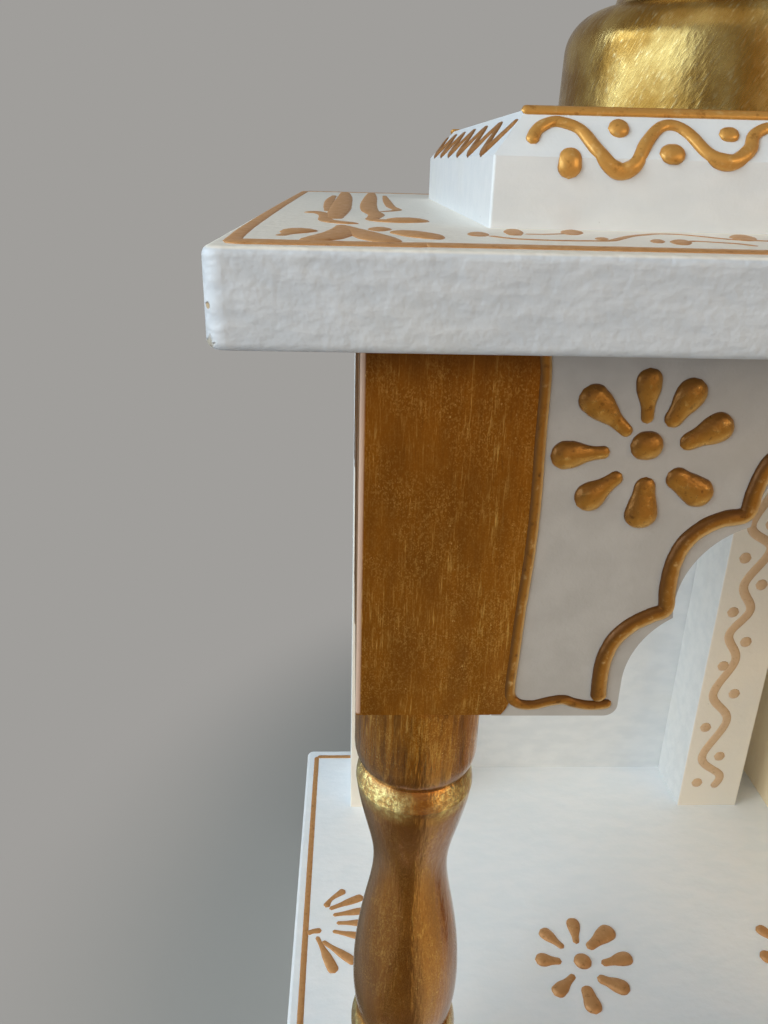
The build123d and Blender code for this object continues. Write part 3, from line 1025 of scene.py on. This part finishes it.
pilasterWork = {
    "turns": [(20.1, 14.1), (23.1, 24), (9.5, 37.7), (19.9, 65.9), (8.1, 84.1), (17, 108.7), (10, 125.6),
              (19.2, 142.2), (12.4, 158.3)],
    "dots": [(9.8, 18.1), (20.4, 38.6), (7.8, 60.4), (20.8, 85), (10.5, 104.5), (20.8, 121), (9.5, 140.7),
             (22.4, 158.4)],
    "repeat": 157.0, "top": 12.0,
    "halfWidth": 2.7, "dotRadius": 3.5, "rise": 0.25,
}


def pilasterStrokes(node, seed):
    look = pilasterWork
    limit = sizeOf(node).z - look["top"]
    wave, dots = [], []
    for shift in (0, look["repeat"]):
        wave += [(u, v + shift) for u, v in look["turns"][bool(shift):] if v + shift < limit]
        dots += [(u, v + shift) for u, v in look["dots"] if v + shift < limit]
    strokes = [stroke(wave, look["halfWidth"], look["rise"])]
    strokes += [dot(u, v, look["dotRadius"], look["rise"]) for u, v in dots]
    return jittered(strokes, seed, 0.4) if seed else strokes


for seed, node in enumerate(nodesNamed("pilaster")):
    squeeze("cone_work_" + node, [(faceOf(node, "front"), pilasterStrokes(node, seed))], palePaint, 1.0)
print("floor and pilasters done")


# Stage: a wide pale floor that fades into the backdrop, soft lamps and a plain world

stageLook = {
    "floor": colour(172, 168, 162),
    "backdrop": colour(160, 158, 155),
    "radius": 9.0, "corners": 64, "fadeFrom": 0.4, "fadeTo": 0.6,
    "ambient": 0.15,
    "reflected": 0.95,
    "floorReflected": colour(128, 118, 102),
    "floorReflectedLeft": colour(160, 162, 158), "floorReflectedRight": colour(252, 250, 214),
    "floorReflectedShadow": colour(112, 100, 80),
    "nearFrom": -0.8, "nearTo": -0.55, "leftTo": -0.36, "rightFrom": -0.26,
    "darkMiddle": -0.37, "darkHalf": 0.15,
}


def makeFloor():
    look = stageLook
    mesh = bpy.data.meshes.new("stage_floor")
    radius, corners = look["radius"], look["corners"]
    around = [2 * math.pi * i / corners for i in range(corners)]
    rim = [(radius * math.cos(a), radius * math.sin(a), 0) for a in around]
    mesh.from_pydata(rim, [], [range(corners)])
    floor = bpy.data.objects.new("stage_floor", mesh)
    bpy.context.scene.collection.objects.link(floor)
    paint = Paint("stage_floor")
    path = paint.add("ShaderNodeLightPath")
    x, y, _ = paint.parts(paint.point)
    # glossy rays alone see these colours: a painted reflection for the gold of a floor that is dim far in
    # front and bright beside the object, with a painted shadow in one strip
    near = paint.smooth(y, look["nearFrom"], look["nearTo"])
    towardsRight = paint.smooth(x, look["leftTo"], look["rightFrom"])
    beside = paint.mix(towardsRight, look["floorReflectedLeft"], look["floorReflectedRight"])
    reflected = paint.mix(near, look["floorReflected"], beside)
    aside = paint.math("ABSOLUTE", x - look["darkMiddle"])
    dark = near * paint.smooth(aside, look["darkHalf"], look["darkHalf"] * 0.4)
    reflected = paint.mix(dark, reflected, look["floorReflectedShadow"])
    tone = paint.mix(path.output("Is Glossy Ray"), look["floor"], reflected)
    paint.set(Base_Color=tone, Roughness=0.8)
    away = paint.vector("LENGTH", paint.point, output="Value")
    seen = path.output("Is Camera Ray")
    glow = paint.add("ShaderNodeEmission", {"Color": look["backdrop"]})
    faded = paint.smooth(away, look["fadeFrom"], look["fadeTo"]) * seen
    lit = Value(paint, paint.shader.outputs[0])
    blend = paint.add("ShaderNodeMixShader", {0: faded, 1: lit, 2: glow})
    paint.fill(paint.nodeTree.nodes["Material Output"].inputs, {"Surface": blend})
    mesh.materials.append(paint.material)


def makeWorld():
    world = bpy.data.worlds.new("studio")
    world.use_nodes = True
    bpy.context.scene.world = world
    tree = Tree(world.node_tree)
    path = tree.add("ShaderNodeLightPath")
    seen = tree.math("MAXIMUM", path.output("Is Camera Ray"), path.output("Is Transmission Ray"))
    ambient, reflected = stageLook["ambient"], stageLook["reflected"]
    unseen = ambient + (reflected - ambient) * path.output("Is Glossy Ray")
    strength = tree.math("MAXIMUM", seen, unseen)
    background = world.node_tree.nodes["Background"]
    tree.fill(background.inputs, {"Color": stageLook["backdrop"], "Strength": strength})


# Each lamp: its bearing from the front towards the right and its height above the level in degrees, then
# its distance, width, height, brightness on a wall that faces it, and colour
lamps = {
    "left_window": (-66, 24, 1.6, 1.1, 1.1, 0.53, (0.95, 1.02, 1.0)),
    "left_side": (-90, 38, 1.6, 1.1, 1.1, 0.07, (0.6, 0.88, 1.35)),
    "left_skylight": (-85, 52, 1.7, 1.0, 1.0, 0.09, (0.72, 1.06, 1.32)),
    "low_window": (-40, 5, 1.7, 1.4, 0.9, 0.2, (0.94, 1.01, 1.12)),
    "front_room": (42, 24, 1.8, 1.2, 0.8, 0.22, (1.4, 1.02, 0.55)),
    "right_room": (115, 20, 1.8, 1.2, 1.0, 0.1, (1.0, 0.97, 0.92)),
    "window_glint": (-80, 18, 1.6, 1.5, 0.34, 0.145, (0.84, 1.1, 1.4)),
    "wall_glint": (-78, 2, 1.6, 1.6, 0.6, 0.14, (0.93, 1.1, 1.14)),
    "sky_glint": (-96, 19, 1.6, 0.25, 0.28, 0.04, (0.75, 1.0, 1.3)),
    "warm_glint": (15, 6, 1.6, 1.8, 1.4, 0.09, (1.0, 0.58, 0.2)),
    "room_glint": (42, 22, 1.8, 1.1, 0.7, 0.135, (1.1, 0.88, 0.55)),
    "ceiling_glint": (-50, 48, 1.7, 1.8, 1.1, 0.08, (1.0, 0.92, 0.74)),
}
lampTarget = (0, 0, 0.35)
# The gold doesn't mirror these. The glints are seen in it alone, and light nothing.
unreflected = ("left_window", "left_side", "left_skylight", "low_window", "front_room")


def makeLamps():
    for name, (bearing, height, distance, wide, tall, brightness, tint) in lamps.items():
        bearing, height = math.radians(bearing), math.radians(height)
        level = math.cos(height)
        towards = Vector((math.sin(bearing) * level, -math.cos(bearing) * level, math.sin(height)))
        light = bpy.data.lights.new(name, "AREA")
        light.shape = "RECTANGLE"
        light.size = wide
        light.size_y = tall
        light.energy = brightness * (math.pi * distance) ** 2
        light.color = tint
        lamp = bpy.data.objects.new(name, light)
        lamp.visible_glossy = name not in unreflected
        lamp.visible_diffuse = not name.endswith("glint")
        lamp.location = Vector(lampTarget) + towards * distance
        lamp.rotation_mode = "QUATERNION"
        lamp.rotation_quaternion = (-towards).to_track_quat("-Z", "Y")
        bpy.context.scene.collection.objects.link(lamp)


# Camera: close to the roof's front left corner, looking down
cameraLook = {
    "place": (-0.3537, -0.3075, 0.43835),
    "pitch": 22.88, "yaw": 2.48, "roll": 1.5,
    "lens": 29.07,
}


def makeCamera():
    look = cameraLook
    pitch, yaw, roll = (math.radians(look[k]) for k in ("pitch", "yaw", "roll"))
    forward = Vector((math.sin(yaw) * math.cos(pitch), math.cos(yaw) * math.cos(pitch), -math.sin(pitch)))
    level = Vector((math.cos(yaw), -math.sin(yaw), 0))
    upright = level.cross(forward)
    right = math.cos(roll) * level + math.sin(roll) * upright
    up = -math.sin(roll) * level + math.cos(roll) * upright
    data = bpy.data.cameras.new("camera")
    data.lens = look["lens"]
    data.clip_start = 0.01
    camera = bpy.data.objects.new("camera", data)
    turned = Matrix((right, up, -forward)).transposed().to_4x4()
    camera.matrix_world = Matrix.Translation(look["place"]) @ turned
    bpy.context.scene.collection.objects.link(camera)
    bpy.context.scene.camera = camera


makeFloor()
makeWorld()
makeLamps()
makeCamera()
bpy.context.scene.view_settings.view_transform = "Standard"

print("scene ready")
